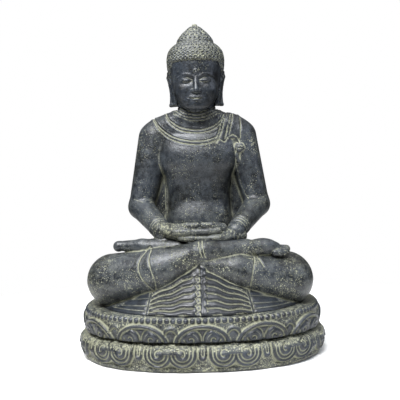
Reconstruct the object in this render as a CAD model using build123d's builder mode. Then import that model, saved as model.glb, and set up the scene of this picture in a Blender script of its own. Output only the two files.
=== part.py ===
from build123d import *
import os
from math import asin, cos, degrees, pi, sin

"""Seated meditation figure on a double lotus plinth, built up from four cast stone blocks.

Two oval tiers, a seated figure and a head are bedded on mortar and held in line by steel dowels.
Steel rods are cast into every block. +X is the figure's left hand, -Y its front, +Z up, and the
origin is the middle of the underside. Lengths are millimetres.
"""

os.makedirs("parts", exist_ok=True)

# Driving dimensions
height = 630.0  # underside to the tip of the hair knot
u = height / 100  # the figure is laid out in hundredths of its height
mortar_bed = 2.0  # thickness of each mortar joint
dowel_radius = 5.0
dowel_hole_radius = 7.5
rod_radius = 3.0
spine_radius = 4.0
wire_radius = 0.8
rod_gap = 0.5  # stone left between two rods that pass each other

# Plinth: two oval tiers of petals, half widths across and from front to back
plinth_top = 7.45 * u
seat_floor = plinth_top + mortar_bed
seat_top = 14.7 * u
figure_floor = seat_top + mortar_bed
petal_count = 12
petal_curve = 14.0 * u  # radius of the dome that makes a petal's face
petal_rise = 0.9 * u  # how far the middle of a petal stands out of its tier

# Neck joint, level with the uppermost neck crease
neck_z = 72.0 * u
neck_y = 5.6 * u
neck_half_width = 6.0 * u
neck_half_depth = 5.6 * u
head_floor = neck_z + mortar_bed

# Steel
spine_y = 9.0 * u
spine_low = 17.0 * u
spine_high = 67.6 * u
leg_rod_z = 21.5 * u
arm_rod_z = 65.6 * u
lap_gap = 2 * wire_radius + 2 * rod_gap  # room for a tie wire between the spine and the neck dowel
dowel_y = spine_y - spine_radius - lap_gap - dowel_radius


def at(x, y, z):
    """A point given in hundredths of the height."""
    return Vector(x, y, z) * u


def mirrored(point):
    return Vector(-point.X, point.Y, point.Z)


def stack(*ovals):
    """Lofts a body through level ovals: (z, half width, half depth, centre y) in hundredths."""
    sections = []
    for z, half_width, half_depth, centre_y in ovals:
        with BuildSketch(Plane.XY.offset(z * u)) as section:
            with Locations((0, centre_y * u)):
                Ellipse(half_width * u, half_depth * u)
        sections.append(section.sketch)
    loft(sections)


def limb(start, end, start_radius, end_radius):
    """Adds a tapering limb with round ends; the radii are in hundredths of the height."""
    along = end - start
    length = along.length
    large, small = start_radius * u, end_radius * u
    lean = asin((large - small) / length)
    side_angle = 90 - degrees(lean)
    beside = along.cross(Vector(0.1, 0.2, 1))
    with BuildSketch(Plane(origin=start, x_dir=along, z_dir=beside)) as profile:
        with BuildLine():
            CenterArc((0, 0), large, side_angle, 180 - side_angle)
            Line(
                (large * sin(lean), large * cos(lean)),
                (length + small * sin(lean), small * cos(lean)),
            )
            CenterArc((length, 0), small, 0, side_angle)
            Line((length + small, 0), (-large, 0))
        make_face()
    revolve(profile.sketch, axis=Axis(start, along))


def petal_domes(z, half_width, half_depth, first_turn):
    """Adds the domed petal faces round a tier, spaced evenly from the angle first_turn."""
    for index in range(petal_count):
        turn = first_turn + 2 * pi * index / petal_count
        edge = Vector(half_width * cos(turn), half_depth * sin(turn), z / u) * u
        outward = Vector(cos(turn) / half_width, sin(turn) / half_depth, 0).normalized()
        with Locations(edge - outward * (petal_curve - petal_rise)):
            Sphere(petal_curve)


def rod_hoop(z, width, depth, corner):
    """Adds a closed oval hoop of rod lying level at z."""
    x, y = width / 2, depth / 2
    with BuildLine() as path:
        FilletPolyline((x, -y, z), (x, y, z), (-x, y, z), (-x, -y, z), radius=corner, close=True)
    with BuildSketch(Plane(origin=path.line @ 0, z_dir=path.line % 0)) as section:
        Circle(rod_radius)
    sweep(section.sketch, path=path.line)


def bent_rod(points, bend):
    """Adds a rod bent at each inner point to the radius bend."""
    with BuildLine() as path:
        FilletPolyline(*points, radius=bend)
    with BuildSketch(Plane(origin=path.line @ 0, z_dir=path.line % 0)) as section:
        Circle(rod_radius)
    sweep(section.sketch, path=path.line)


# Steel rods and dowels ------------------------------------------------------------------------

with BuildPart() as plinth_hoop:
    rod_hoop(3.7 * u, 58 * u, 42 * u, 20 * u)

with BuildPart() as seat_hoop:
    rod_hoop(11.2 * u, 56 * u, 40 * u, 19.5 * u)

plinth_dowel_places = [(x * u, y * u) for x in (-17, 17) for y in (-11, 11)]
plinth_dowel_low = 3.2 * u
plinth_dowel_high = 12.0 * u
with BuildPart() as plinth_dowels:
    with BuildSketch(Plane.XY.offset(plinth_dowel_low)):
        with Locations(*plinth_dowel_places):
            Circle(dowel_radius)
    extrude(amount=plinth_dowel_high - plinth_dowel_low)

seat_dowel_places = [(-20 * u, -3 * u), (20 * u, -3 * u), (0, 14 * u)]
seat_dowel_low = 10.0 * u
seat_dowel_high = 19.2 * u
with BuildPart() as seat_dowels:
    with BuildSketch(Plane.XY.offset(seat_dowel_low)):
        with Locations(*seat_dowel_places):
            Circle(dowel_radius)
    extrude(amount=seat_dowel_high - seat_dowel_low)

neck_dowel_low = 60.0 * u
neck_dowel_high = 84.0 * u
with BuildPart() as neck_dowel:
    with BuildSketch(Plane.XY.offset(neck_dowel_low)):
        with Locations((0, dowel_y)):
            Circle(dowel_radius)
    extrude(amount=neck_dowel_high - neck_dowel_low)

with BuildPart() as spine_rod:
    with BuildSketch(Plane.XY.offset(spine_low)):
        with Locations((0, spine_y)):
            Circle(spine_radius)
    extrude(amount=spine_high - spine_low)

rear_run_y = spine_y + spine_radius + rod_radius + rod_gap
wrist_end = at(10.9, -8.9, 37.7)
elbow_bend = at(18.6, 4.6, 44.6)
shoulder_bend = Vector(15.4 * u, rear_run_y, arm_rod_z)
with BuildPart() as arm_rod:
    bent_rod(
        [mirrored(wrist_end), mirrored(elbow_bend), mirrored(shoulder_bend)]
        + [shoulder_bend, elbow_bend, wrist_end],
        3 * u,
    )

shin_end = at(9, -15.5, 24)
knee_bend = at(25, -8, 21.5)
hip_bend = Vector(13 * u, rear_run_y, leg_rod_z)
with BuildPart() as leg_rod:
    bent_rod(
        [mirrored(shin_end), mirrored(knee_bend), mirrored(hip_bend)]
        + [hip_bend, knee_bend, shin_end],
        3 * u,
    )

crossing_y = (spine_y + rear_run_y) / 2
crossing_wire = spine_radius + rod_radius + rod_gap + 2 * wire_radius
lap_y = (spine_y + spine_radius + dowel_y - dowel_radius) / 2
lap_wire = spine_radius + lap_gap / 2 + dowel_radius + rod_gap + wire_radius
with BuildPart() as tie_wires:
    for wire_z in (leg_rod_z, arm_rod_z):
        with Locations(Plane(origin=(0, crossing_y, wire_z), x_dir=(0, 1, 0), z_dir=(1, 0, 1))):
            Torus(crossing_wire, wire_radius)
    with Locations((0, lap_y, 61.8 * u)):
        Torus(lap_wire, wire_radius)

# Mortar joints, which also fill the dowel holes ------------------------------------------------

with BuildPart() as plinth_mortar:
    with BuildSketch(Plane.XY.offset(plinth_top)):
        Ellipse(32.8 * u, 25.4 * u)
    extrude(amount=mortar_bed)
    with BuildSketch(Plane.XY.offset(plinth_dowel_low)):
        with Locations(*plinth_dowel_places):
            Circle(dowel_hole_radius)
    extrude(amount=plinth_dowel_high - plinth_dowel_low)
    add(plinth_dowels.part, mode=Mode.SUBTRACT)

with BuildPart() as seat_mortar:
    with BuildSketch(Plane.XY.offset(seat_top)):
        with Locations((0, -3.5 * u)):
            Ellipse(22 * u, 14.5 * u)
        with Locations((0, 14 * u)):
            Circle(dowel_hole_radius + 2 * u)
    extrude(amount=mortar_bed)
    with BuildSketch(Plane.XY.offset(seat_dowel_low)):
        with Locations(*seat_dowel_places):
            Circle(dowel_hole_radius)
    extrude(amount=seat_dowel_high - seat_dowel_low)
    add(seat_dowels.part, mode=Mode.SUBTRACT)

with BuildPart() as neck_mortar:
    with BuildSketch(Plane.XY.offset(neck_z)):
        with Locations((0, neck_y)):
            Ellipse(neck_half_width - 0.5 * u, neck_half_depth - 0.5 * u)
    extrude(amount=mortar_bed)
    with BuildSketch(Plane.XY.offset(head_floor)):
        with Locations((0, dowel_y)):
            Circle(dowel_hole_radius)
    extrude(amount=neck_dowel_high - head_floor)
    add(neck_dowel.part, mode=Mode.SUBTRACT)

# Stone blocks ----------------------------------------------------------------------------------

with BuildPart() as lotus_plinth:
    stack(
        (0, 36.0, 28.6, 0),
        (1.3, 36.5, 29.1, 0),
        (4.2, 36.7, 29.3, 0),
        (plinth_top / u, 34.0, 26.6, 0),
    )
    petal_domes(3.9 * u, 36.7, 29.3, pi / 2 + pi / petal_count)
    split(bisect_by=Plane.XY, keep=Keep.TOP)
    split(bisect_by=Plane.XY.offset(plinth_top), keep=Keep.BOTTOM)
    for inner in (plinth_hoop, plinth_dowels, plinth_mortar):
        add(inner.part, mode=Mode.SUBTRACT)

with BuildPart() as lotus_seat:
    stack(
        (seat_floor / u, 34.2, 27.2, 0),
        (11.4, 35.4, 28.5, 0),
        (seat_top / u, 34.6, 27.8, 0),
    )
    petal_domes(10.6 * u, 35.2, 28.3, pi / 2)
    split(bisect_by=Plane.XY.offset(seat_floor), keep=Keep.TOP)
    split(bisect_by=Plane.XY.offset(seat_top), keep=Keep.BOTTOM)
    for inner in (seat_hoop, plinth_dowels, plinth_mortar, seat_dowels, seat_mortar):
        add(inner.part, mode=Mode.SUBTRACT)

with BuildPart() as seated_figure:
    # trunk, from the hips to the neck joint
    stack(
        (figure_floor / u, 20.5, 12.5, 6.8),
        (24, 18, 12, 7.5),
        (34, 13.6, 9.5, 7.5),
        (44, 10.2, 7.6, 7.6),
        (57, 11.6, 8.0, 7.2),
        (66, 11.0, 6.8, 7.6),
        (neck_z / u, neck_half_width / u, neck_half_depth / u, neck_y / u),
    )
    # robe ends spread out on the lotus seat
    stack((figure_floor / u, 26.5, 19.6, -8.0), (26, 6, 8, -12))
    for side in (-1, 1):
        limb(at(side * 7, 11, 23.5), at(side * 25.5, -6, 22.3), 8.4, 7.5)
        limb(at(side * 8.6, 8, 66.6), at(side * 14.2, 7.8, 65.6), 5.2, 4.8)
        limb(at(side * 14.2, 7.8, 65.6), at(side * 18.6, 4.6, 44.6), 4.8, 3.9)
        limb(at(side * 18.6, 4.6, 44.6), at(side * 10.2, -11.3, 36.6), 3.9, 2.7)
    # a recessed wall of robe closes the gap between each arm and the trunk
    with BuildSketch(Plane.XZ.offset(-6 * u)):
        with BuildLine():
            Polyline(
                (-13 * u, 38 * u),
                (-18 * u, 44.6 * u),
                (-14 * u, 66 * u),
                (14 * u, 66 * u),
                (18 * u, 44.6 * u),
                (13 * u, 38 * u),
                close=True,
            )
        make_face()
    extrude(amount=-3.5 * u)
    # the right shin lies over the left one, and each foot rests on the other leg's thigh
    limb(at(-25.5, -9.5, 22.3), at(0, -18.6, 31.2), 7.5, 3.4)
    limb(at(0, -18.6, 31.2), at(25.2, -11.0, 31.2), 3.3, 1.6)
    limb(at(25.5, -9.5, 21.9), at(3, -19.2, 27.2), 7.3, 2.8)
    limb(at(-9, -12, 31.6), at(-24.6, -9.4, 32.4), 3.0, 1.7)
    # hands laid one on the other, palms up
    limb(at(-9, -13.5, 35.6), at(6.5, -15.2, 35.8), 1.8, 1.2)
    limb(at(9, -13.5, 36.9), at(-6.5, -14.6, 37.0), 1.7, 1.1)
    split(bisect_by=Plane.XY.offset(figure_floor), keep=Keep.TOP)
    split(bisect_by=Plane.XY.offset(neck_z), keep=Keep.BOTTOM)
    for inner in (seat_dowels, seat_mortar, neck_dowel, spine_rod, arm_rod, leg_rod, tie_wires):
        add(inner.part, mode=Mode.SUBTRACT)

with BuildPart() as head:
    limb(at(0, 5.6, 70), at(0, 5.2, 80), 6.0, 5.8)
    limb(at(0, 4.4, 87), at(0, 1.7, 77.7), 8.7, 5.2)
    for side in (-1, 1):
        limb(at(side * 7.9, 5.2, 84.0), at(side * 6.9, 4.8, 75.4), 1.2, 1.1)
    limb(at(0, -3.2, 83.6), at(0, -4.0, 79.6), 0.6, 1.1)
    # hair knot, a pointed dome
    limb(at(0, 5.2, 92.4), at(0, 5, 95.6), 5.7, 4.2)
    limb(at(0, 5, 95.6), at(0, 4.8, 98.8), 4.2, 1.2)
    split(bisect_by=Plane.XY.offset(head_floor), keep=Keep.TOP)
    for inner in (neck_dowel, neck_mortar):
        add(inner.part, mode=Mode.SUBTRACT)

pieces = {
    "lotus_plinth": lotus_plinth,
    "plinth_hoop": plinth_hoop,
    "plinth_dowels": plinth_dowels,
    "plinth_mortar": plinth_mortar,
    "lotus_seat": lotus_seat,
    "seat_hoop": seat_hoop,
    "seat_dowels": seat_dowels,
    "seat_mortar": seat_mortar,
    "seated_figure": seated_figure,
    "spine_rod": spine_rod,
    "arm_rod": arm_rod,
    "leg_rod": leg_rod,
    "tie_wires": tie_wires,
    "neck_dowel": neck_dowel,
    "neck_mortar": neck_mortar,
    "head": head,
}
for name, piece in pieces.items():
    piece.part.label = name
    export_step(piece.part, f"parts/{name}.step")
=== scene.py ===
from math import ceil, pi, radians, tau

import bpy
import numpy as np
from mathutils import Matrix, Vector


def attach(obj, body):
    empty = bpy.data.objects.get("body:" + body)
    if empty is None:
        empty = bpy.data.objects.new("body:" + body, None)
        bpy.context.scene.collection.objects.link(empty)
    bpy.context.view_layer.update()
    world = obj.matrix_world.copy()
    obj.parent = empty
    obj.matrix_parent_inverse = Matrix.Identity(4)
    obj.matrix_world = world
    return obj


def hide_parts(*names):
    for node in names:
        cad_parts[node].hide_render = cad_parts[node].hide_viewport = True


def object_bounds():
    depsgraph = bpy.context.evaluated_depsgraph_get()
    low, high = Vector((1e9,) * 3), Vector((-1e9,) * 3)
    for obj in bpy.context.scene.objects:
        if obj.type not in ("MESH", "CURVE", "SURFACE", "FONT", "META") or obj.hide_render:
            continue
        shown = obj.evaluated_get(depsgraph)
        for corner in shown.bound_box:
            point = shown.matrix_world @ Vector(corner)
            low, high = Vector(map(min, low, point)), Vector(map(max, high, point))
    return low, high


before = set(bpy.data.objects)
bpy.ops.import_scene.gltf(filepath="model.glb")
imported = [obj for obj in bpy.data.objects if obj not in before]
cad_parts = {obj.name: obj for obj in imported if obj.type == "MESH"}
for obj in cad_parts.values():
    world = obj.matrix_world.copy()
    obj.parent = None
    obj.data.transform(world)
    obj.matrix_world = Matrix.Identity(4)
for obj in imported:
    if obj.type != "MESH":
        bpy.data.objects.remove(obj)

import openvdb
from mathutils import Vector

cad_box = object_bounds()
unit = cad_box[1].z / 100  # the sculptor's module: a hundredth of the height

# Lower lotus tier ------------------------------------------------------------------------------
# An oval drum of cast lava stone with twelve two-lobed petals that hang down over a plain foot
# slab. The mould gives the petals, and their scrolls are sharpened with a chisel.

petal_count = 12
tier_fullness = 2.3  # 2 is a plain oval, more is squarer
grain = 0.23  # spacing of the tiers' mesh, in modules


def step(value, low, high):
    """Rises smoothly from 0 at low to 1 at high."""
    share = np.clip((value - low) / (high - low), 0, 1)
    return share * share * (3 - 2 * share)


def outline(half_width, half_depth, fullness, count):
    """Even points round a full oval from the middle of its front, their normals and the way round."""
    turn = np.linspace(-pi / 2, 1.5 * pi, 20001)
    across, along = np.cos(turn), np.sin(turn)
    x = half_width * np.sign(across) * np.abs(across) ** (2 / fullness)
    y = half_depth * np.sign(along) * np.abs(along) ** (2 / fullness)
    run = np.concatenate([[0], np.cumsum(np.hypot(np.diff(x), np.diff(y)))])
    even = np.arange(count) / count * run[-1]
    x, y = np.interp(even, run, x), np.interp(even, run, y)
    normal = np.stack([np.roll(y, -1) - np.roll(y, 1), np.roll(x, 1) - np.roll(x, -1)], 1)
    normal /= np.linalg.norm(normal, axis=1)[:, None]
    return np.stack([x, y], 1), normal, even, run[-1]


def chiselled(distance, width=0.26, depth=0.3):
    """Height beside a chisel line: a groove with a slight burr along it."""
    burr = 0.4 * np.exp(-(((distance - 2.3 * width) / width) ** 2))
    return depth * (burr - np.exp(-((distance / width) ** 2)))


def scroll(across, up, centre, turns, growth, start):
    """Distance to a snail scroll that grows anticlockwise out of its centre."""
    x, z = across - centre[0], up - centre[1]
    radius = np.hypot(x, z)
    angle = (np.arctan2(z, x) - start) % tau
    laps = [angle + tau * lap for lap in range(ceil(turns))]
    return np.min([np.abs(radius - growth * lap) + 9 * (lap > turns * tau) for lap in laps], axis=0)


def facing(points, faces):
    """Outward directions at the points of a closed skin."""
    corner = points[faces]
    cross = np.cross(corner[:, 2] - corner[:, 0], corner[:, 3] - corner[:, 1])
    spread = np.stack(
        [np.bincount(faces.ravel(), np.repeat(cross[:, axis], 4), len(points)) for axis in range(3)], 1
    )
    return spread / np.maximum(np.linalg.norm(spread, axis=1), 1e-9)[:, None]


def hollows(points, faces):
    """From 0 on open stone to 1 deep in a crease: how far each point lies below its surroundings."""
    full_depth = {3: 0.09, 24: 0.42}  # after so many laps of smoothing, how far down counts as 1
    normal = facing(points, faces)
    pairs = np.concatenate([faces[:, [0, 1]], faces[:, [1, 2]], faces[:, [2, 3]], faces[:, [3, 0]]])
    near, far = pairs[:, 0], pairs[:, 1]
    count = np.bincount(near, minlength=len(points)) + np.bincount(far, minlength=len(points))
    smooth, depth = points.copy(), np.zeros(len(points))
    for lap in range(1, max(full_depth) + 1):
        total = []
        for axis in range(3):
            ahead = np.bincount(near, smooth[far, axis], len(points))
            behind = np.bincount(far, smooth[near, axis], len(points))
            total.append(ahead + behind)
        smooth = np.stack(total, 1) / count[:, None]
        if lap in full_depth:
            below = ((smooth - points) * normal).sum(1)
            depth = np.maximum(depth, below / full_depth[lap])
    return np.clip(depth, -1, 1.5)


def per_metre(millimetres):
    """How many times a pattern of this size repeats in a metre, which is a texture's scale."""
    return 1000 / millimetres


def linear(hex_colour):
    """An sRGB hex colour as a linear one."""
    parts = [int(hex_colour[i : i + 2], 16) / 255 for i in (1, 3, 5)]
    return [((v + 0.055) / 1.055) ** 2.4 if v > 0.04045 else v / 12.92 for v in parts] + [1]


def add(tree, kind, inputs=None, **settings):
    """Adds a shader node with its settings; inputs are values or other nodes' outputs."""
    made = tree.nodes.new("ShaderNode" + kind)
    for name, value in settings.items():
        setattr(made, name, value)
    for socket, value in (inputs or {}).items():
        if isinstance(value, bpy.types.NodeSocket):
            tree.links.new(value, made.inputs[socket])
        else:
            made.inputs[socket].default_value = value
    return made


def lava_stone():
    """Dark lava-sand cast stone, rubbed to a dull sheen, with whitish lime wash left in the hollows and
    painted shade darkening it in places.

    The open faces are nearly black blue-grey and a little glossy; the wash is matt and chalky.
    """
    material = bpy.data.materials.new("lava_sand_cast_stone")
    material.use_nodes = True
    tree = material.node_tree
    tree.nodes.clear()
    place = add(tree, "TexCoord").outputs["Object"]
    cloud = add(tree, "TexNoise", {"Vector": place, "Scale": per_metre(71), "Detail": 4}).outputs["Fac"]
    mottle = add(
        tree, "TexNoise", {"Vector": place, "Scale": per_metre(10.5), "Detail": 5, "Roughness": 0.62}
    ).outputs["Fac"]
    # sand grains are under 1 mm; they are drawn at 1.9 mm so that they show
    sand = add(
        tree, "TexNoise", {"Vector": place, "Scale": per_metre(1.92), "Detail": 3, "Roughness": 0.7}
    ).outputs["Fac"]
    tone = add(tree, "Math", {0: cloud, 1: mottle}, operation="ADD").outputs[0]
    tone = add(tree, "Math", {0: sand, 1: 1.3, 2: tone}, operation="MULTIPLY_ADD").outputs[0]
    dark = add(
        tree,
        "MapRange",
        {"Value": tone, "From Min": 1.4, "From Max": 1.93, "To Min": 0.0, "To Max": 1.0},
    ).outputs[0]
    body = add(
        tree, "Mix", {0: dark, 6: linear("#06080a"), 7: linear("#353b43")}, data_type="RGBA"
    ).outputs[2]
    hollow = add(tree, "Attribute", attribute_name="hollow").outputs["Fac"]
    chisel = add(tree, "Attribute", attribute_name="chisel").outputs["Fac"]
    wash_and_shade = add(tree, "Attribute", attribute_name="wash_and_shade").outputs["Fac"]
    # rubbed edges show the lighter sand
    rubbed = add(
        tree,
        "MapRange",
        {"Value": hollow, "From Min": -0.15, "From Max": -0.8, "To Min": 0.0, "To Max": 0.5},
    ).outputs[0]
    body = add(tree, "Mix", {0: rubbed, 6: body, 7: linear("#41474e")}, data_type="RGBA").outputs[2]
    # below 0 the film attribute paints shade: the stone is darkened in the holes of the curls, on the fan
    # below the crossed shins and inside the petals
    painted_shade = add(
        tree, "MapRange", {"Value": wash_and_shade, "From Min": 0.0, "From Max": -0.2, "To Min": 0.0, "To Max": 0.75}
    ).outputs[0]
    body = add(tree, "Mix", {0: painted_shade, 6: body, 7: linear("#07090b")}, data_type="RGBA").outputs[2]
    # wash lies in chisel lines, creases and casting pits
    ragged = add(tree, "Math", {0: tone, 1: 0.55, 2: -0.9}, operation="MULTIPLY_ADD").outputs[0]
    line = add(
        tree,
        "MapRange",
        {"Value": add(tree, "Math", {0: chisel, 1: ragged}, operation="ADD").outputs[0],
         "From Min": 0.23, "From Max": -0.04, "To Min": 0.0, "To Max": 0.8},
        interpolation_type="SMOOTHSTEP",
    ).outputs[0]
    settled = add(
        tree,
        "MapRange",
        {"Value": add(tree, "Math", {0: hollow, 1: ragged}, operation="ADD").outputs[0],
         "From Min": 0.35, "From Max": 1.3, "To Min": 0.0, "To Max": 0.7},
        interpolation_type="SMOOTHSTEP",
    ).outputs[0]
    # air bubbles leave pits of 1 to 2 mm, filled with wash, in loose crowds
    crowd = add(tree, "TexNoise", {"Vector": place, "Scale": per_metre(45.5), "Detail": 3}).outputs["Fac"]
    many = add(tree, "Math", {0: crowd, 1: 0.5, 2: 0.28}, operation="MULTIPLY_ADD").outputs[0]
    many = add(tree, "Math", {0: many, 1: wash_and_shade}, operation="ADD").outputs[0]
    size = add(
        tree, "MapRange", {"Value": many, "From Min": 0.4, "From Max": 0.8, "To Min": 0.0, "To Max": 0.7}
    ).outputs[0]
    pits = []
    for apart in (3.33, 2.08):
        bubble = add(tree, "TexVoronoi", {"Vector": place, "Scale": per_metre(apart), "Randomness": 1.0})
        chance = add(tree, "SeparateColor", {0: bubble.outputs["Color"]}).outputs[0]
        wide = add(tree, "Math", {0: size, 1: chance}, operation="MULTIPLY").outputs[0]
        open_pit = add(
            tree, "Math", {0: wide, 1: bubble.outputs["Distance"]}, operation="SUBTRACT"
        ).outputs[0]
        pits.append(
            add(
                tree,
                "MapRange",
                {"Value": open_pit, "From Min": 0.0, "From Max": 0.2, "To Min": 0.0, "To Max": 0.8},
            ).outputs[0]
        )
    pit = add(tree, "Math", {0: pits[0], 1: pits[1]}, operation="MAXIMUM").outputs[0]
    patch = add(tree, "MapRange", {"Value": mottle, "From Min": 0.4, "From Max": 0.66}).outputs[0]
    film = add(tree, "Math", {0: wash_and_shade, 1: 0.0}, operation="MAXIMUM").outputs[0]
    film = add(tree, "Math", {0: film, 1: patch}, operation="MULTIPLY").outputs[0]
    wash = add(tree, "Math", {0: line, 1: settled}, operation="MAXIMUM").outputs[0]
    wash = add(tree, "Math", {0: wash, 1: pit}, operation="MAXIMUM").outputs[0]
    wash = add(tree, "Math", {0: wash, 1: film}, operation="ADD", use_clamp=True).outputs[0]
    chalk = add(
        tree, "Mix", {0: cloud, 6: linear("#83846c"), 7: linear("#aaab94")}, data_type="RGBA"
    ).outputs[2]
    colour = add(tree, "Mix", {0: wash, 6: body, 7: chalk}, data_type="RGBA").outputs[2]
    rough = add(
        tree, "MapRange", {"Value": wash, "From Min": 0.0, "From Max": 0.7, "To Min": 0.35, "To Max": 0.85}
    ).outputs[0]
    grit = add(tree, "Bump", {"Height": sand, "Strength": 0.5, "Distance": 0.0006}).outputs[0]
    rub = add(
        tree, "Bump", {"Height": mottle, "Strength": 0.38, "Distance": 0.0028, "Normal": grit}
    ).outputs[0]
    pitted = add(
        tree, "Bump", {"Height": pit, "Strength": 0.6, "Distance": 0.0014, "Normal": rub}, invert=True
    )
    shader = add(
        tree,
        "BsdfPrincipled",
        {"Base Color": colour, "Roughness": rough, "Normal": pitted.outputs[0], "IOR": 1.5,
         "Specular IOR Level": 0.5},
    )
    add(tree, "OutputMaterial", {"Surface": shader.outputs[0]})
    return material


stone = lava_stone()


def cast(name, points, faces, chisel, wash_and_shade, node):
    """Makes a block of stone from a skin in modules and puts it in the place of its CAD node.

    chisel is the distance to the nearest cut line; the value after it is how much lime film lies on the face,
    and below 0 how much painted shade darkens it.
    """
    mesh = bpy.data.meshes.new(name)
    mesh.from_pydata((points * unit).tolist(), [], faces.tolist())
    mesh.validate()
    mesh.polygons.foreach_set("use_smooth", np.ones(len(mesh.polygons), bool))
    for label, value in (("hollow", hollows(points, faces)), ("chisel", chisel), ("wash_and_shade", wash_and_shade)):
        layer = mesh.attributes.new(label, "FLOAT", "POINT")
        layer.data.foreach_set("value", np.asarray(value, np.float32))
    mesh.materials.append(stone)
    piece = bpy.data.objects.new(name, mesh)
    bpy.context.scene.collection.objects.link(piece)
    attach(piece, "root")
    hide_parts(node)
    return piece


def tier(name, half_width, half_depth, profile, carving, node):
    """Takes a profile of (height, set forward) round an oval outline and raises the carving on it."""
    length = outline(half_width, half_depth, tier_fullness, 400)[3]
    columns = int(length / grain / 4) * 4
    edge, normal, run, length = outline(half_width, half_depth, tier_fullness, columns)
    height, forward = np.array(profile, float).T
    way = np.concatenate([[0], np.cumsum(np.hypot(np.diff(height), np.diff(forward)))])
    rows = int(way[-1] / grain)
    even = np.linspace(0, way[-1], rows)
    height, forward = np.interp(even, way, height), np.interp(even, way, forward)
    soft = np.array([1, 2, 3, 2, 1]) / 9
    height[2:-2] = np.convolve(height, soft, "valid")
    forward[2:-2] = np.convolve(forward, soft, "valid")
    around, up = np.meshgrid(run, height)
    raised, chisel, wash_and_shade = carving(around, up, length)
    out = forward[:, None] + raised
    ring = edge[None] + normal[None] * out[..., None]
    points = np.concatenate([ring, up[..., None]], 2).reshape(-1, 3)
    index = np.arange(rows * columns).reshape(rows, columns)
    ahead = np.roll(index, -1, 1)
    faces = np.stack([index[:-1], ahead[:-1], ahead[1:], index[1:]], 2).reshape(-1, 4)
    # the flat underside and top close towards the middle in shrinking rings
    parts, chisels, wash_and_shade_rows, last = [points], [chisel.ravel()], [wash_and_shade.ravel()], len(points)
    for side, rim in ((0, index[0]), (1, index[-1])):
        before = rim
        for share in (0.8, 0.5, 0.2, 0.04):
            flat = points[rim] * [share, share, 1]
            parts.append(flat)
            chisels.append(np.full(columns, 3.0))
            wash_and_shade_rows.append(wash_and_shade.ravel()[rim])
            here = last + np.arange(columns)
            last += columns
            quads = [before, here, np.roll(here, -1), np.roll(before, -1)]
            faces = np.concatenate([faces, np.stack(quads if side == 0 else quads[::-1], 1)])
            before = here
        half = columns // 2
        low, high = before[: half - 1], before[1:half]
        far_low, far_high = before[::-1][: half - 1], before[::-1][1:half]
        quads = [low, far_low, far_high, high] if side == 0 else [high, far_high, far_low, low]
        faces = np.concatenate([faces, np.stack(quads, 1)])
    return cast(name, np.concatenate(parts), faces, np.concatenate(chisels), np.concatenate(wash_and_shade_rows), node)


def hanging_petals(run, z, length):
    """Two-lobed petals that hang down, a drop between each pair, and the plain slab below."""
    pitch = length / petal_count
    across = (run / pitch) % 1 * pitch - pitch / 2
    lobe = np.hypot(np.abs(across) - 3.3, z - 5.2) - 3.9
    lobe = np.where(z > 5.2, np.abs(across) - 7.2, lobe)
    drop = np.hypot(np.abs(across) - pitch / 2, np.minimum(z - 4.2, 0)) - 1.0
    inner = np.hypot(np.abs(across) - pitch / 2, np.minimum(z - 5.0, 0)) - 0.35
    zone = step(z, 1.35, 1.7) * (1 - step(z, 6.6, 7.6))
    raised = 1.1 * step(-lobe, -0.1, 0.4) - 0.25 * step(-lobe, 0.8, 1.2) + 0.35 * step(-lobe, 1.4, 2.8)
    raised += 0.7 * step(-drop, -0.1, 0.35)
    hook = scroll(np.abs(across), z, (3.2, 5.1), 0.8, 0.3, -2.6)
    inset = np.minimum(np.abs(lobe + 0.95), np.abs(lobe + 2.0))
    chisel = np.minimum(np.minimum(inset, hook), np.abs(inner))
    raised = (raised + chiselled(chisel, 0.3, 0.4)) * zone
    chisel = np.minimum(chisel, np.abs(lobe - 0.12) + 0.03)
    chisel = np.where(zone > 0.4, chisel, 3)
    inside = np.maximum(step(-lobe, -0.1, 0.2), step(-drop, -0.1, 0.2)) * zone
    # inside the petals the value is below 0, painted shade that darkens them; between them and on the rounded
    # top it is lime film
    wash_and_shade = -0.05 + 0.33 * (1 - inside) * step(z, -0.1, 0.3) + 0.32 * step(z, 4.9, 6.5)
    return raised, chisel, wash_and_shade


plinth_width, plinth_depth = 36.2, 29.2
tier(
    "lower_lotus_tier",
    plinth_width,
    plinth_depth,
    [(0, -4), (0, -0.7), (0.15, -0.35), (1.15, -0.1), (1.35, -0.45), (1.7, -0.6), (3.0, -0.15),
     (4.2, 0), (5.4, -0.1), (6.5, -0.6), (7.25, -1.4), (7.6, -2.4), (7.6, -7)],
    hanging_petals,
    "lotus_plinth",
)

# Bed between the tiers -------------------------------------------------------------------------
# A 2 mm bed of cement mortar, spread before the upper tier is lowered on to the four dowels.
# Its edge lies back under the upper tier. The CAD shape is right, so only the finish is added.


def mortar_finish():
    """Cement mortar, trowelled: matt light grey with sand in it."""
    material = bpy.data.materials.new("cement_mortar")
    material.use_nodes = True
    tree = material.node_tree
    shader = tree.nodes["Principled BSDF"]
    place = add(tree, "TexCoord").outputs["Object"]
    sand = add(tree, "TexNoise", {"Vector": place, "Scale": per_metre(1.67), "Detail": 4}).outputs["Fac"]
    colour = add(tree, "Mix", {0: sand, 6: linear("#7c7a70"), 7: linear("#a3a195")}, data_type="RGBA")
    tree.links.new(colour.outputs[2], shader.inputs["Base Color"])
    grit = add(tree, "Bump", {"Height": sand, "Strength": 0.5, "Distance": 0.0006})
    tree.links.new(grit.outputs[0], shader.inputs["Normal"])
    shader.inputs["Roughness"].default_value = 0.92
    return material


def finish(node, material):
    """Gives a CAD node its finish."""
    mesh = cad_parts[node].data
    mesh.materials.clear()
    mesh.materials.append(material)


mortar = mortar_finish()
for joint in ("plinth_mortar", "seat_mortar", "neck_mortar"):
    finish(joint, mortar)

# Steel inside the blocks -----------------------------------------------------------------------
# Hoops, dowels and bent bars of mild steel, tied with wire and cast in. They show only where a
# block is opened, so they keep their CAD shapes and get a rusted finish.


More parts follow.
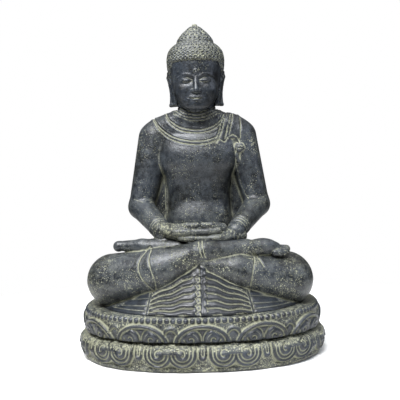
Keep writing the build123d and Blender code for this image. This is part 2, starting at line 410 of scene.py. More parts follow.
def rusted_steel():
    """Mild steel bar as it comes from the yard: grey mill scale with a bloom of rust."""
    material = bpy.data.materials.new("mild_steel_bar")
    material.use_nodes = True
    tree = material.node_tree
    shader = tree.nodes["Principled BSDF"]
    place = add(tree, "TexCoord").outputs["Object"]
    bloom = add(tree, "TexNoise", {"Vector": place, "Scale": per_metre(3.85), "Detail": 5}).outputs["Fac"]
    rust = add(tree, "MapRange", {"Value": bloom, "From Min": 0.45, "From Max": 0.62}).outputs[0]
    colour = add(tree, "Mix", {0: rust, 6: linear("#5b5a59"), 7: linear("#7a4426")}, data_type="RGBA")
    metal = add(tree, "MapRange", {"Value": rust, "To Min": 1.0, "To Max": 0.0}).outputs[0]
    rough = add(tree, "MapRange", {"Value": rust, "To Min": 0.45, "To Max": 0.9}).outputs[0]
    for socket, value in (("Base Color", colour.outputs[2]), ("Metallic", metal), ("Roughness", rough)):
        tree.links.new(value, shader.inputs[socket])
    return material


steel = rusted_steel()
for bar in (
    "plinth_hoop", "seat_hoop", "plinth_dowels", "seat_dowels", "neck_dowel",
    "spine_rod", "arm_rod", "leg_rod", "tie_wires",
):
    finish(bar, steel)

# Upper lotus tier ------------------------------------------------------------------------------
# The seat: twelve petals that stand up, each an arch over two scrolls, with a small petal behind
# each gap and a rim of beads round the top. Cast like the tier below and bedded on it.


def standing_petals(run, z, length):
    """Arched petals with paired scrolls, small petals between them, and the beaded rim."""
    pitch = length / petal_count
    across = ((run / pitch + 0.5) % 1 - 0.5) * pitch
    arch = (1 - np.hypot(across / 7.7, (z - 7.5) / 5.35)) * 5.35
    between = np.abs(across) - pitch / 2
    small = (1 - np.hypot(between / 2.7, (z - 7.8) / 4.6)) * 3.2
    small = np.where(arch > -0.1, -1, small)
    lobes = np.hypot(np.abs(across) - 3.2, z - 8.9)
    crown = np.where(z > 8.4, np.abs(lobes - 2.9), 3)
    hook = scroll(np.abs(across), z, (3.2, 8.9), 1.1, 0.24, -0.5)
    zone = step(z, 7.7, 8.1) * (1 - step(z, 12.9, 13.2))
    raised = 1.05 * step(arch, -0.15, 0.25) - 0.6 * step(arch, 0.75, 1.05)
    raised += np.where(arch > 0.9, 0.5 * step(3.0 - lobes, 0, 0.35) + 0.25 * step(1.9 - lobes, 0, 0.6), 0)
    raised += 0.5 * step(small, -0.1, 0.3) - 0.3 * step(small, 0.5, 0.8)
    chisel = np.minimum(crown, hook)
    chisel = np.where(arch > 0.9, chisel, 3)
    chisel = np.minimum(chisel, np.abs(arch - 0.85))
    chisel = np.minimum(chisel, np.where(small > -0.2, np.abs(small - 0.75), 3))
    raised = (raised + chiselled(chisel, 0.3, 0.36)) * zone
    chisel = np.minimum(chisel, np.abs(arch + 0.15) + 0.04)
    bead_pitch = length / round(length / 1.75)
    bead = np.hypot(((run / bead_pitch) % 1 - 0.5) * bead_pitch / 0.72, (z - 13.85) / 0.74)
    rim = step(z, 13.0, 13.2) * (1 - step(z, 14.5, 14.7))
    raised += rim * (0.58 * np.sqrt(np.clip(1 - bead**2, 0, 1)) - 0.15)
    chisel = np.where(zone > 0.4, chisel, 3)
    chisel = np.minimum(chisel, np.where(rim > 0.5, np.maximum(1.25 - bead, 0) * 0.9, 3))
    inside = np.maximum(step(arch, -0.1, 0.2), 0.6 * step(small, -0.1, 0.2)) * zone
    # inside the petals, and faintly on the rim of beads, the value is below 0: painted shade that darkens the
    # stone; between the petals it is lime film
    wash_and_shade = 0.2 - 0.25 * inside - 0.22 * rim
    return raised, chisel, wash_and_shade


seat_width, seat_depth = 35.0, 28.2
tier(
    "upper_lotus_tier",
    seat_width,
    seat_depth,
    [(7.7, -7), (7.7, -1.0), (7.95, -0.7), (9.0, -0.35), (10.5, 0.0), (12.0, 0.15), (13.0, 0.05),
     (14.5, 0), (14.72, -0.4), (14.95, -1.6), (15.05, -4), (15.05, -9)],
    standing_petals,
    "lotus_seat",
)

# Seated figure ---------------------------------------------------------------------------------
# Trunk, arms, crossed legs and the spread robe are one casting. The forms are built up as clay
# would be, limb by limb and blended, then skinned, and the robe lines are cut into the skin.

body_cell = 0.32


def limb(p, start, end, start_radius, end_radius):
    """Distance to a tapering limb."""
    start, end = np.array(start, np.float32), np.array(end, np.float32)
    along = end - start
    share = np.clip((p - start) @ along / (along @ along), 0, 1)
    away = p - start - share[:, None] * along
    return np.sqrt(np.einsum("ij,ij->i", away, away)) - (start_radius + (end_radius - start_radius) * share)


def blob(p, centre, radii):
    """Distance to an egg of the three radii."""
    away = (p - np.array(centre, np.float32)) / np.array(radii, np.float32)
    near = np.sqrt(np.einsum("ij,ij->i", away, away)) + 1e-6
    away = away / np.array(radii, np.float32)
    return near * (near - 1) / (np.sqrt(np.einsum("ij,ij->i", away, away)) + 1e-6)


def merge(first, second, blend):
    """Joins two forms with a fillet of about the blend."""
    share = np.clip(0.5 + 0.5 * (second - first) / blend, 0, 1)
    return second + (first - second) * share - blend * share * (1 - share)


def cut(form, tool, blend):
    """Takes a tool's form away with a rounded edge."""
    return -merge(-form, tool, blend)


def eased(z, knots, values):
    """A smooth curve through the values at the knots."""
    slope = np.gradient(values, knots)
    i = np.clip(np.searchsorted(knots, z) - 1, 0, len(knots) - 2)
    wide = (knots[1:] - knots[:-1])[i]
    t = np.clip((z - knots[i]) / wide, 0, 1)
    return (
        values[i] * (1 + 2 * t) * (1 - t) ** 2
        + slope[i] * wide * t * (1 - t) ** 2
        + values[i + 1] * t * t * (3 - 2 * t)
        + slope[i + 1] * wide * t * t * (t - 1)
    )


def stack(p, ovals, fullness=2.3):
    """Distance to a form of level ovals: (height, half width, half depth, centre y)."""
    knots, *rest = np.array(ovals, float).T
    half_width, half_depth, centre = (eased(p[:, 2], knots, values) for values in rest)
    across = np.abs(p[:, 0]) / half_width
    along = np.abs(p[:, 1] - centre) / half_depth
    size = (across**fullness + along**fullness) ** (1 / fullness)
    return (size - 1) * np.minimum(half_width, half_depth)


def two_sided(p, form):
    """A form on the +x side and its twin on the other."""
    folded = p.copy()
    folded[:, 0] = np.abs(p[:, 0])
    return form(folded)


shoulder = (13.3, 7.9, 65.1)
elbow = (18.3, 4.4, 43.7)
wrist = (10.6, -11.4, 36.6)


def forearm(p):
    return limb(p, elbow, wrist, 3.85, 2.75)


def arm(p):
    return merge(limb(p, shoulder, elbow, 5.5, 3.8), forearm(p), 1.0)


def upper_body(p):
    """Trunk, neck, shoulders, chest and arms, with the recessed robe between arm and trunk."""
    trunk = stack(
        p,
        [(12, 20.5, 13.5, 6.8), (20, 19.5, 13, 7.2), (26, 16.5, 12, 7.5), (34, 12.4, 9.8, 7.8),
         (41, 10.3, 8.0, 7.6), (46, 9.9, 7.4, 7.6), (52, 10.4, 7.5, 7.3), (58, 11.9, 7.9, 7.0),
         (63, 12.9, 7.7, 7.2), (67, 12.6, 6.9, 7.6), (70, 11.4, 6.4, 7.2), (71.7, 9.5, 6.3, 6.7),
         (72.7, 7.7, 6.1, 6.4), (73.8, 6.4, 5.7, 6.2), (78, 5.9, 5.5, 5.9)],
    )
    shoulders = two_sided(p, lambda q: limb(q, (3.4, 7.2, 68.7), (11.4, 7.9, 67.1), 5.0, 4.9))
    trunk = merge(trunk, shoulders, 2.6)
    trunk = merge(trunk, blob(p, (0, 3.6, 58.6), (11.4, 5.6, 6.4)), 3)
    trunk = merge(trunk, blob(p, (0, 3.2, 39.4), (8.4, 3.9, 5.2)), 2.5)
    body = merge(trunk, two_sided(p, arm), 1.1)
    reach = np.interp(p[:, 2], [30, 37, 43.8, 66], [12, 14, 17.7, 12.9])
    recess = np.maximum(np.abs(p[:, 1] - 8.2) - 2.2, np.abs(p[:, 0]) - reach)
    recess = np.maximum(recess, np.abs(p[:, 2] - 48) - 18)
    return merge(body, recess, 0.7)


toes = [((21.6, -14.5, 30.2), 0.95), ((23.0, -14.2, 30.1), 0.95), ((24.2, -13.6, 30.1), 0.9),
        ((25.1, -12.6, 30.3), 0.95), ((25.1, -11.2, 30.9), 1.25)]


def lower_body(p):
    """Thighs, crossed shins, the two feet and the robe spread over the seat."""
    thighs = two_sided(p, lambda q: limb(q, (6, 10.5, 23.6), (25.4, -6, 21.9), 8.8, 7.8))
    lap = limb(p, (-12, -7, 24.5), (12, -7, 24.5), 7.4, 7.4)
    seat = merge(thighs, lap, 2.5)
    left = merge(
        limb(p, (25.6, -8.5, 21.5), (10, -16.4, 25.4), 7.6, 5.3),
        limb(p, (10, -16.4, 25.6), (1, -19.4, 27.6), 5.2, 2.6),
        1.0,
    )
    right = merge(
        limb(p, (-25.9, -8.0, 22.6), (-11, -15.0, 26.2), 7.9, 6.3),
        limb(p, (-11, -15.0, 26.2), (1.5, -18.4, 31.4), 6.3, 3.3),
        1.5,
    )
    # the right foot lies over the left thigh, sole up
    over = merge(
        limb(p, (0, -18.4, 31.0), (13, -15.2, 31.8), 3.5, 2.6),
        limb(p, (13, -15.2, 31.8), (21.8, -12.6, 31.5), 2.6, 1.7),
        0.8,
    )
    over = merge(over, blob(p, (18.0, -13.4, 32.3), (4.2, 2.7, 2.2)), 0.8)
    for centre, radius in toes:
        over = merge(over, limb(p, (20.5, -12.8, 31.5), centre, 1.1, radius), 0.25)
    right = merge(right, over, 1.2)
    # the left foot comes out from under the right shin
    under = merge(
        limb(p, (-6, -13.5, 32.0), (-17, -11.4, 32.7), 3.2, 2.2),
        limb(p, (-17, -11.4, 32.7), (-23.0, -9.9, 32.9), 2.2, 1.5),
        0.8,
    )
    under = merge(under, blob(p, (-24.0, -9.9, 32.8), (1.6, 1.7, 1.6)), 0.35)
    legs = merge(merge(seat, left, 1.2), under, 0.5)
    legs = merge(legs, right, 0.35)
    return merge(legs, spread_robe(p), 0.4)


def spread_robe(p):
    """The robe laid out in a fan over the seat, from the edge up to where the shins cross."""
    fan = stack(
        p,
        [(12, 30, 23.3, -4.6), (15.2, 29.3, 22.6, -4.8), (17.5, 23.5, 18.6, -7.4), (21, 15.5, 13.5, -11),
         (24.5, 8.0, 9.0, -14), (27.5, 2.6, 4.5, -17), (30, 0.6, 1, -18)],
        2.1,
    )
    return np.maximum(fan, p[:, 2] - 28)


seat_top, collar_top = 14.95, 73.5


def figure(p):
    body = merge(upper_body(p), lower_body(p), 1.1)
    body = np.maximum(body, seat_top - p[:, 2])
    return np.maximum(body, p[:, 2] - collar_top)


def sculpt(form, low, high, cell):
    """Skins a form with even quads: blocks of cells near the surface are worked out, the rest are not."""
    side = 6
    low = np.array(low, np.float32)
    blocks = np.ceil((np.array(high) - low) / (cell * side)).astype(int)
    corner = np.stack(np.meshgrid(*[np.arange(n) for n in blocks], indexing="ij"), -1).reshape(-1, 3)
    corner = (low + corner * cell * side).astype(np.float32)
    rough = form(corner + cell * (side - 1) / 2)
    near = np.abs(rough) < cell * side * 1.5
    within = np.stack(np.meshgrid(*[np.arange(side)] * 3, indexing="ij"), -1).reshape(-1, 3)
    spots = (corner[near][:, None] + within.astype(np.float32) * cell).reshape(-1, 3)
    fine = np.concatenate([form(part) for part in np.array_split(spots, ceil(len(spots) / 300000))])
    field = np.repeat(rough[:, None], side**3, 1)
    field[near] = fine.reshape(-1, side**3)
    field = field.reshape(*blocks, side, side, side).transpose(0, 3, 1, 4, 2, 5).reshape(*(blocks * side))
    grid = openvdb.FloatGrid(1e6)
    grid.copyFromArray(np.ascontiguousarray(field, np.float32))
    points, faces = grid.convertToQuads(0.0)
    points = low + points.astype(np.float32) * cell
    faces = faces.astype(int)
    centre = points[faces].mean(1)
    cross = np.cross(points[faces[:, 2]] - points[faces[:, 0]], points[faces[:, 3]] - points[faces[:, 1]])
    if (centre * cross).sum() < 0:
        faces = faces[:, ::-1]
    return points, faces


def settle(points, form):
    """Moves points on to the form's surface and gives the directions away from it."""
    reach = 0.06
    for _ in range(2):
        rise = []
        for axis in reach * np.eye(3, dtype=np.float32):
            rise.append(form(points + axis) - form(points - axis))
        slope = np.stack(rise, 1) / (2 * reach)
        length = np.maximum(np.linalg.norm(slope, axis=1), 0.3)
        points = points - (form(points) / length**2)[:, None] * slope
    return points.astype(np.float32), slope / length[:, None]


def stroke(across, up, guide):
    """Distance to a smooth stroke through the guide's points."""
    guide = np.array(guide, float)
    knots = np.arange(len(guide), dtype=float)
    fine = np.linspace(0, len(guide) - 1, 6 * (len(guide) - 1) + 1)
    x, z = (eased(fine, knots, guide[:, i]) for i in (0, 1))
    best = np.full(len(across), 9.0)
    for x0, z0, x1, z1 in zip(x[:-1], z[:-1], x[1:], z[1:]):
        dx, dz = x1 - x0, z1 - z0
        share = np.clip(((across - x0) * dx + (up - z0) * dz) / (dx * dx + dz * dz), 0, 1)
        best = np.minimum(best, np.hypot(across - x0 - share * dx, up - z0 - share * dz))
    return best


def beside(guide, offset):
    """The guide moved sideways, for the second line of a hem."""
    return [(x + offset, z) for x, z in guide]


def neck_folds(x, y, z):
    """Distance to the folds of the neck, which dip at the front."""
    rise = 2.4 * np.where(y < 6.2, np.clip((x / 6.5) ** 2, 0, 1), 1)
    folds = np.min([np.abs(z - level - rise) for level in (69.8, 70.7, 71.6, 72.5)], axis=0)
    return np.where((np.hypot(x, y - 6.3) < 8.2) & (z > 68.5), 1.4 * folds, 3)


# the robe's cut lines, as (across, up) on the front, or on the back where they say so
neckline = [
    (-9.6, 71.4), (-8.2, 69.2), (-5.4, 67.2), (-2, 66.3), (1.6, 66.2), (5.0, 67.2), (7.3, 69.0), (8.4, 70.9)
]
shawl_edge = [
    (-13.9, 71.0), (-12.2, 68.0), (-9.6, 65.5), (-6.2, 63.6), (-1.5, 62.6), (3.0, 62.8), (6.5, 64.0)
]
back_neckline = [(0, 67.6), (4.5, 68.2), (8.4, 70.4)]
back_shawl = [(0, 60.4), (5, 61.3), (9.5, 64.4), (13.2, 69.6)]
sash_strokes = [
    [(10.4, 71.8), (9.5, 68), (8.5, 64.2)],
    [(11.2, 71.8), (10.3, 67.6), (9.5, 64.4)],
    [(8.7, 70.6), (7.6, 66.6), (5.9, 62.8)],
    [(7.8, 70.4), (6.8, 66.8), (5.1, 63.2)],
    [(13.5, 71.0), (13.5, 67), (13.1, 63.4)],
    [(5.5, 62.8), (7.0, 64.0), (8.4, 63.2), (9.6, 64.8), (11.0, 65.4), (12.3, 64.6), (13.1, 63.2)],
]
shin_hem = [(-14.4, 33.0), (-16.9, 30.2), (-17.7, 27.4), (-16.7, 24.6), (-14.6, 21.9), (-12.7, 20.2)]
shin_hem_inner = [(-14.0, 32.4), (-14.6, 29.8), (-13.9, 26.8), (-12.8, 23.4), (-12.7, 20.2)]
far_hem = [(14.2, 31.2), (15.3, 29.2), (14.6, 25.3), (13.9, 21.6)]
far_pleat = [(15.0, 31.0), (17.0, 28.5), (18.0, 26.8)]
lap_hem = [(-0.5, 34.9), (-0.1, 32.3), (0.5, 30.2)]
elbow_creases = [
    [(-20.4, 46.3), (-17.6, 45.6), (-14.6, 45.4)],
    [(15.6, 45.2), (18.2, 45.6), (20.6, 46.2)],
]
robe_beside_trunk = [
    [(-12.2, 57), (-11.0, 52), (-10.5, 46), (-10.9, 40)],
    [(12.0, 56), (12.9, 51.4), (14.0, 48), (15.4, 45.4)],
]
sash_x, sash_half = 11.4, 2.1


def robe_lines(p, normal):
    """Distance to the nearest line cut in the robe, and what is raised beside the lines."""
    x, y, z = p.T
    front = normal[:, 1] < -0.12
    lines = [neck_folds(x, y, z)]
    raised = np.zeros(len(p))
    # neckline and shawl edge in front, and the same edges lower down on the back
    breast = (y < 8.4) & (z > 60)
    nape = (y > 7) & (z > 54)
    for drop in (0, 0.95):
        lines.append(np.where(breast, stroke(x, z - drop, neckline), 3))
        lines.append(np.where(breast, stroke(x, z - drop, shawl_edge), 3))
        lines.append(np.where(nape, stroke(np.abs(x), z - drop, back_neckline), 3))
        lines.append(np.where(nape, stroke(np.abs(x), z - drop, back_shawl), 3))
    edge = eased(np.clip(x, -13.6, 6.5), *np.array(shawl_edge, float).T)
    raised += np.where(breast & (x < 6.5), 0.24 * step(z - edge, -0.1, 0.35) * step(x, -13.6, -10), 0)
    # sash over the left shoulder, its pinned knot and tail
    high = front & (z > 55) & (x > 3)
    for guide in sash_strokes:
        lines.append(np.where(high, stroke(x, z, guide), 3))
    over = np.abs(x - sash_x)
    raised += np.where((z > 64.5) & (over < 2.4), 0.3 * step(sash_half - over, 0, 0.35), 0)
    back_sash = (y > 7.5) & (z > 47) & (z < 72)
    down = x - sash_x + (72 - z) * 0.12
    raised += np.where(back_sash & (z <= 64.5), 0.3 * step(sash_half - np.abs(down), 0, 0.35), 0)
    for edge in (-sash_half, -1.2, sash_half):
        lines.append(np.where(back_sash, np.abs(down - edge), 3))
    knot = np.hypot(x - 12.9, z - 61.4)
    raised += np.where(high, 0.95 * np.sqrt(np.clip(1 - (knot / 1.55) ** 2, 0, 1)), 0)
    lines.append(np.where(high, scroll(x, z, (12.9, 61.4), 1.6, 0.115, 0.6), 3))
    tail = stroke(x, z, [(12.5, 60.4), (12.2, 58.8), (12.5, 57.2)])
    raised += np.where(high, 0.5 * (1 - step(tail, 0.3, 0.8)), 0)
    # creases at the elbows, cuffs, and the drawn edge of the recessed robe
    for guide in elbow_creases:
        crease = np.where(front, stroke(x, z, guide), 3)
        raised -= 0.35 * np.exp(-((crease / 0.8) ** 2))
        lines.append(crease + 0.24)
    for guide in robe_beside_trunk:
        lines.append(np.where(normal[:, 1] < -0.3, stroke(x, z, guide) + 0.17, 3))
    folded = np.abs(x)
    along = np.array(wrist) - np.array(elbow)
    reach = np.linalg.norm(along)
    spot = np.stack([folded, y, z], 1) - np.array(elbow)
    way = spot @ along / reach
    on_arm = forearm(np.stack([folded, y, z], 1)) < 1.2
    for place in (0.80, 0.86, 0.93):
        lines.append(np.where(on_arm, np.abs(way - place * reach), 3))
    # hems round the legs and down the lap
    legs = front & (z < 36) & (y < -13)
    for guide in (shin_hem, shin_hem_inner, far_hem, far_pleat, lap_hem, beside(lap_hem, 0.95)):
        lines.append(np.where(legs, stroke(x, z, guide), 3))
    return np.min(lines, axis=0) * 1.5, raised


def fan_pleats(p, normal):
    """The pleated panel below the crossed shins: wavy pleats each side of a chain of loops."""
    x, y, z = p.T
    fan = (normal[:, 1] < -0.25) & (z < 28) & (z > 14.9) & (np.abs(spread_robe(p)) < 0.4)
    middle = x + 0.5
    pleat_count = 5.6
    top = 26.4 - 0.5 * np.maximum(np.abs(middle) - 1.5, 0)
    share = (z - 15.2) / (top - 15.2)
    wave = 0.024 * np.sin(np.abs(middle) * 0.95 + 0.4) * np.clip((np.abs(middle) - 1.5) / 3, 0, 1)
    pleat = (share + wave) * pleat_count
    edge = 13.4 + (19.5 - z) * 0.22
    panel = fan & (y < -17) & (np.abs(middle) > 1.7) & (np.abs(middle) < edge) & (share < 1.02)
    fold = pleat % 1
    raised = np.where(panel, 0.7 * (1 - fold) - 0.2, 0)
    lines = [np.where(panel, np.abs(fold - 0.5 - 0.5 * np.sign(fold - 0.5)) * (top - 15.2) / pleat_count, 3)]
    link = 1.8
    chain = np.abs(x + 1.2 - 0.35 * np.sin(z * tau / link))
    loop = np.abs(np.hypot(x + 0.8, ((z / link) % 1 - 0.5) * link) - 0.5)
    lines.append(np.where(fan & (z < 25.5), chain, 3))
    lines.append(np.where(fan & (z < 25.5), loop, 3))
    strip = fan & (np.abs(x - 0.55) < 0.75)
    raised += np.where(strip, 0.35, 0)
    for side in (-1, 1):
        for offset in (0, 0.8):
            lines.append(np.where(fan & (z < 20.5), np.abs(side * middle - edge - offset), 3))
    beyond = fan & (y < -13) & (np.abs(middle) > edge + 0.5)
    for rise in (0.02, 0.09, 0.19):
        lines.append(np.where(beyond, np.abs(z - 15.9 - rise * (32 - np.abs(x))), 3))
    return np.min(lines, axis=0), raised, fan, panel


points, faces = sculpt(figure, (-37, -30, 13.5), (37, 25, 74), body_cell)
points, normal = settle(points, figure)
chisel, raised = robe_lines(points, normal)
pleat_lines, pleats, fan, panel = fan_pleats(points, normal)
height = points[:, 2]
clear = (height > seat_top + 0.15) & (height < collar_top - 0.1)
relief = (raised + chiselled(chisel, 0.3, 0.3)) * clear
relief = np.where(fan, pleats + chiselled(np.minimum(pleat_lines, chisel), 0.26, 0.22), relief)
chisel = np.where(fan, np.minimum(pleat_lines * 1.7 + 0.08, chisel), chisel)
wash_and_shade = 0.04 + 0.03 * (1 - step(height, 27, 36)) + 0.04 * (1 - step(height, 40, 52))
# the fan below the crossed shins goes below 0, painted shade that darkens it, most on the pleated panel
wash_and_shade = wash_and_shade - 0.2 * fan - 0.06 * panel
cast("seated_figure_robed", points + normal * relief[:, None], faces, chisel, wash_and_shade, "seated_figure")

# Hands -----------------------------------------------------------------------------------------
# The right hand lies on the left, palms up, with the thumb tips together. They belong to the same
# casting; they are modelled by themselves so that the fingers can be finer than the robe.

hand_cell = 0.16


def hand(p, side, level):
    """A hand laid flat from its wrist towards the other side, level being the height of the palm."""
    q = p * np.array([side, 1, 1], np.float32)
    palm = merge(
        limb(q, (11.2, -11.2, level + 0.2), (6.8, -13.8, level), 2.6, 2.2),
        blob(q, (4.6, -14.2, level), (5.4, 3.7, 1.9)),
        1.2,
    )
    for number, reach in enumerate((-5.6, -6.4, -6.0, -4.8)):
        y = -16.7 + 1.6 * number
        knuckle, joint = (1.6, y + 0.1, level - 0.1), (-2.2, y, level + 0.05)
        tip = (reach, y + 0.3, level + 0.35)
        finger = merge(limb(q, knuckle, joint, 1.12, 1.02), limb(q, joint, tip, 1.02, 0.82), 0.15)
        palm = merge(palm, finger, 0.2)
    return palm


def hands(p):
    both = merge(hand(p, 1, 35.0), hand(p, -1, 37.0), 0.12)
    for side in (-1, 1):
        root, knuckle, tip = (side * 6.6, -14.6, 38.0), (side * 3.4, -16.3, 38.7), (side * 0.8, -16.5, 38.9)
        thumb = merge(limb(p, root, knuckle, 1.25, 1.0), limb(p, knuckle, tip, 1.0, 0.78), 0.2)
        both = merge(both, thumb, 0.2)
    return both


points, faces = sculpt(hands, (-15, -20, 32), (15, -7.5, 41), hand_cell)
points, normal = settle(points, hands)
cuff = np.where(np.abs(points[:, 0]) > 9, np.abs(np.abs(points[:, 0]) - 11), 3)
palm_film = np.full(len(points), 0.2)
cast("folded_hands", points + normal * chiselled(cuff)[:, None], faces, cuff, palm_film, "seated_figure")

# Head ------------------------------------------------------------------------------------------
# Cast by itself and pinned on a dowel. Rows of snail curls cover the skull and the pointed knot,
# the lobes are long and slit, and the face is calm, with lowered lids and plain proportions.

head_cell = 0.165

hairline, chin = 88.1, 72.8
third = (hairline - chin) / 3
brow_z, nose_z = hairline - third, chin + third
eye_z, mouth_z = brow_z - 1.35, chin + 0.68 * third
face_half = 6.9
eye_x = face_half * 2 / 5


def ear(p):
    """The figure's left ear: an outer rim, an inner rim and a long slit lobe, cut off square."""
    shell = blob(p, (7.8, 5.0, 82.6), (0.7, 1.9, 2.6))
    rim = [
        (7.9, 3.6, 84.4), (8.4, 5.0, 85.2), (8.7, 6.4, 84.0),
        (8.1, 6.6, 81.6), (7.7, 6.1, 78.4), (7.9, 5.6, 75.0),
    ]
    for start, end in zip(rim[:-1], rim[1:]):
        shell = merge(shell, limb(p, start, end, 0.58, 0.58), 0.3)
    inner = [(7.6, 3.7, 82.4), (7.0, 3.7, 79.4), (6.4, 3.9, 75.0)]
    for start, end in zip(inner[:-1], inner[1:]):
        shell = merge(shell, limb(p, start, end, 0.75, 0.7), 0.3)
    shell = merge(shell, limb(p, (7.7, 5.0, 81.0), (7.2, 4.8, 76.4), 0.55, 0.5), 0.5)
    shell = merge(shell, limb(p, (6.4, 4.4, 75.3), (7.8, 5.2, 75.3), 0.85, 0.8), 0.3)
    return cut(shell, p[:, 2] - 74.7, 0.3)


def face(p):
    """The skull's front with lids, nose, lips and chin laid on it."""
    form = stack(
        p,
        [(72.7, 1.2, 1.0, -1.9), (73.4, 3.2, 2.4, -1.1), (74.7, 4.8, 3.8, -0.2), (76.4, 5.9, 4.9, 0.6),
         (78.5, 6.6, 5.7, 1.4), (81.5, 7.0, 6.1, 1.9), (85, 7.2, 6.4, 2.3), (88, 7.3, 6.4, 2.8),
         (91, 6.4, 5.6, 3.6)],
        2.15,
    )
    form = np.maximum(form, np.abs(p[:, 2] - 81.8) - 9.2)
    form = merge(form, blob(p, (0, -1.9, 74.4), (2.3, 2.4, 1.8)), 1.2)
    form = merge(form, two_sided(p, lambda q: blob(q, (3.6, -0.6, 79.0), (2.6, 3.0, 2.6))), 1.6)
    form = cut(form, two_sided(p, lambda q: blob(q, (eye_x, -5.5, eye_z + 0.2), (2.3, 1.5, 1.2))), 1.2)
    form = merge(form, two_sided(p, lambda q: blob(q, (eye_x, -2.95, eye_z), (1.8, 1.35, 1.0))), 0.3)
    form = merge(form, limb(p, (0, -3.7, brow_z - 0.5), (0, -4.95, nose_z + 0.85), 0.5, 0.78), 0.6)
    form = merge(form, two_sided(p, lambda q: blob(q, (0.9, -4.35, nose_z + 0.65), (0.7, 0.85, 0.52))), 0.3)
    form = merge(form, blob(p, (0, -3.0, mouth_z), (2.8, 1.3, 1.6)), 0.9)
    upper_lip = two_sided(p, lambda q: blob(q, (0.85, -4.1, mouth_z + 0.36), (1.45, 0.75, 0.38)))
    form = merge(form, upper_lip, 0.2)
    return merge(form, blob(p, (0, -4.1, mouth_z - 0.42), (1.7, 0.8, 0.44)), 0.2)


def skull(p):
    crown = stack(
        p,
        [(75.6, 6.0, 4.6, 6.4), (78, 6.9, 5.9, 6.2), (80.5, 7.3, 7.6, 5.6), (84, 7.9, 8.6, 5.0),
         (87.5, 8.4, 9.1, 4.9), (90, 8.35, 9.0, 4.9), (91.8, 7.7, 8.3, 4.9), (93.0, 6.5, 7.1, 4.9),
         (93.9, 4.9, 5.4, 4.9), (94.5, 3.0, 3.4, 4.9)],
        2.05,
    )
    return np.maximum(crown, np.abs(p[:, 2] - 85.2) - 9.2)


def knot(p):
    return stack(
        p,
        [(90, 5.5, 5.5, 5.0), (93.6, 5.4, 5.4, 5.0), (95.1, 5.0, 5.0, 5.0), (96.6, 3.9, 3.9, 4.9),
         (98.2, 2.2, 2.2, 4.9), (99.3, 0.9, 0.9, 4.8), (99.9, 0.3, 0.3, 4.8)],
        2,
    )


def head(p):
    form = merge(skull(p), face(p), 1.0)
    form = merge(form, limb(p, (0, 6.6, 68), (0, 5.9, 79), 6.5, 5.5), 0.6)
    form = merge(form, np.maximum(knot(p), np.abs(p[:, 2] - 94) - 5.75), 0.35)
    form = merge(form, two_sided(p, ear), 0.4)
    return np.maximum(form, 71.9 - p[:, 2])


def hair_edge(p):
    """How far a point is inside the hair: straight over the brow, behind the ears, down to the nape."""
    back = [-5, -0.5, 2.2, 3.8, 6.8, 9.5]
    up = [hairline, hairline - 0.4, hairline - 2.2, 84.6, 80.0, 76.5]
    return p[:, 2] - np.interp(p[:, 1], back, up)


def curl_places():
    """Staggered rows of curls over the skull, then up the knot."""
    pitch, spots = 1.42, []
    # up the side of the skull, in over its top, then up the knot: (height, half width)
    line = np.array([(76.4, 6.0), (80, 7.0), (84, 8.0), (87.5, 8.4), (90, 8.35), (91.8, 7.7), (93.2, 6.2),
                     (93.7, 5.5), (95.1, 5.1), (96.6, 3.9), (98.2, 2.2), (99.4, 0.9)])
    way = np.concatenate([[0], np.cumsum(np.hypot(*np.diff(line, axis=0).T))])
    rows = np.arange(0, way[-1], 0.88 * pitch)
    levels, halves = (np.interp(rows, way, side) for side in line.T)
    for row, (level, wide) in enumerate(zip(levels, halves)):
        deep = wide + 0.6 * (level < 93)
        count = max(3, round(pi * (wide + deep) / pitch))
        turn = (np.arange(count) + 0.5 * (row % 2)) * tau / count - pi / 2
        ring = [wide * np.cos(turn), 4.9 + deep * np.sin(turn), np.full(count, level)]
        spots.append(np.stack(ring, 1))
    spots = np.concatenate(spots + [np.array([[0, 4.8, 99.8]])]).astype(np.float32)
    spots = settle(spots, lambda p: merge(skull(p), knot(p), 0.5))[0]
    keep = [0]
    for number in range(1, len(spots)):
        if np.min(np.linalg.norm(spots[keep] - spots[number], axis=1)) > 0.8 * pitch:
            keep.append(number)
    spots = spots[keep]
    return spots[hair_edge(spots) > 0.1]


points, faces = sculpt(head, (-10.5, -8, 71), (10.5, 16, 101.5), head_cell)
points, normal = settle(points, head)
x, y, z = points.T
curls = curl_places()
away = np.full(len(points), 9.0, np.float32)
for spot in curls:
    away = np.minimum(away, np.linalg.norm(points - spot, axis=1))
hair = np.maximum(step(hair_edge(points), 0.1, 0.5), step(0.85 - away, 0, 0.15))
hair = hair * (two_sided(points, ear) > 0.25)
curl = 0.3 + 0.42 * np.sqrt(np.clip(1 - (away / 0.8) ** 2, 0, 1)) - 0.5 * np.exp(-((away / 0.27) ** 2))
relief = hair * curl
front = normal[:, 1] < -0.3
face_strokes = [
    [(0.9, brow_z - 0.2), (2.1, brow_z + 0.5), (3.8, brow_z + 0.65), (5.6, brow_z - 0.4)],
    [(eye_x - 1.6, eye_z - 0.25), (eye_x, eye_z - 0.6), (eye_x + 1.6, eye_z - 0.1)],
    [(eye_x - 1.7, eye_z + 0.2), (eye_x, eye_z + 0.95), (eye_x + 1.8, eye_z + 0.3)],
    [(0, mouth_z), (1.2, mouth_z - 0.02), (2.5, mouth_z + 0.35)],
]
brow, lash, lid, mouth = (np.where(front, stroke(np.abs(x), z, guide), 3) for guide in face_strokes)
relief += 0.16 * np.exp(-((brow / 0.3) ** 2)) - 0.14 * np.exp(-((lid / 0.17) ** 2))
relief -= 0.16 * np.exp(-((lash / 0.16) ** 2)) + 0.16 * np.exp(-((mouth / 0.17) ** 2))
dot = np.where(front, np.hypot(x, z - brow_z - 1.5), 3)
relief += 0.32 * np.sqrt(np.clip(1 - (dot / 0.68) ** 2, 0, 1)) - 0.35 * np.exp(-((dot / 0.24) ** 2))
folds = np.where((z < 75.6) & (normal[:, 2] > -0.5), neck_folds(x, y, z), 3)
relief += np.where(z > 72.0, chiselled(folds, 0.3, 0.3), 0)
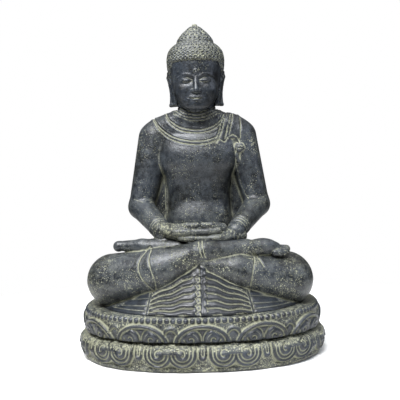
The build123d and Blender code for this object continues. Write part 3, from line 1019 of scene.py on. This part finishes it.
chisel = np.min([lash + 0.14, mouth + 0.14, np.abs(dot - 0.7) + 0.17, folds], axis=0)
between = np.abs(away - 0.82)
chisel = np.where(hair > 0.5, np.minimum(chisel, between * 0.8 + 0.08), chisel)
# the holes in the middle of the curls go below 0, painted shade that darkens them; between the curls it is
# lime film
wash_and_shade = np.where(hair > 0.5, 0.2 - 0.6 * np.exp(-((away / 0.3) ** 2)), 0.01)
cast("head_and_hair", points + normal * relief[:, None], faces, chisel, wash_and_shade, "head")

# Stage, light and camera -----------------------------------------------------------------------
# A plain white floor and a soft studio: a wide soft lamp above the front as key, a weak strip for
# the right side, a very broad light from straight above and a dim surround. None of it is part of the statue.


def matt(name, colour):
    material = bpy.data.materials.new(name)
    material.use_nodes = True
    shader = material.node_tree.nodes["Principled BSDF"]
    shader.inputs["Base Color"].default_value = linear(colour)
    shader.inputs["Roughness"].default_value = 0.9
    return material


floor_radius, floor_gap = 0.85, 0.0004
bpy.ops.mesh.primitive_circle_add(
    vertices=128, radius=floor_radius, fill_type="NGON", location=(0, 0, -floor_gap)
)
floor = bpy.context.object
floor.name = "floor"
floor.data.materials.append(matt("pale_floor", "#f4f4f2"))


def lamp(name, place, aim, width, height, power, colour):
    """A soft box at a place, turned to its aim."""
    light = bpy.data.lights.new(name, "AREA")
    light.shape = "RECTANGLE"
    light.size, light.size_y = width, height
    light.energy = power
    light.color = linear(colour)[:3]
    holder = bpy.data.objects.new(name, light)
    holder.location = place
    holder.rotation_euler = (Vector(aim) - Vector(place)).to_track_quat("-Z", "Y").to_euler()
    bpy.context.scene.collection.objects.link(holder)


chest = (0, 0, 52 * unit)
lamp("key", (-0.55, -1.2, 2.05), chest, 1.5, 0.7, 110, "#fbfcff")
lamp("fill", (1.7, -0.7, 1.3), chest, 0.4, 0.9, 9, "#dfe9ff")
overhead = bpy.data.objects.new("overhead", bpy.data.lights.new("overhead", "SUN"))
overhead.data.energy = 1.5
overhead.data.angle = radians(70)
bpy.context.scene.collection.objects.link(overhead)

# the surround is bright overhead and dim at floor level, and plain white where the camera sees it
world = bpy.context.scene.world or bpy.data.worlds.new("studio")
bpy.context.scene.world = world
world.use_nodes = True
sky = world.node_tree
sky.nodes.clear()
lift = add(sky, "SeparateXYZ", {0: add(sky, "TexCoord").outputs["Generated"]}).outputs["Z"]
glow = add(
    sky, "MapRange", {"Value": lift, "From Min": 0.0, "From Max": 0.9, "To Min": 0.04, "To Max": 0.4}
).outputs[0]
studio = add(sky, "Background", {"Color": (1, 1, 1, 1), "Strength": glow})
paper = add(sky, "Background", {"Color": (1, 1, 1, 1), "Strength": 1.0})
seen = add(sky, "LightPath").outputs["Is Camera Ray"]
shown = add(sky, "MixShader", {0: seen, 1: studio.outputs[0], 2: paper.outputs[0]})
add(sky, "OutputWorld", {"Surface": shown.outputs[0]})
bpy.context.scene.view_settings.view_transform = "Standard"

stand_off, eye_height, tipped_down, lean = 210 * unit, 53 * unit, radians(2.05), radians(1.5)
camera = bpy.data.objects.new("camera", bpy.data.cameras.new("camera"))
camera.data.sensor_width = 36
camera.data.lens = 61.3
camera.location = (0.5 * unit, -stand_off, eye_height)
camera.rotation_euler = (pi / 2 - tipped_down, lean, 0)
bpy.context.scene.collection.objects.link(camera)
bpy.context.scene.camera = camera
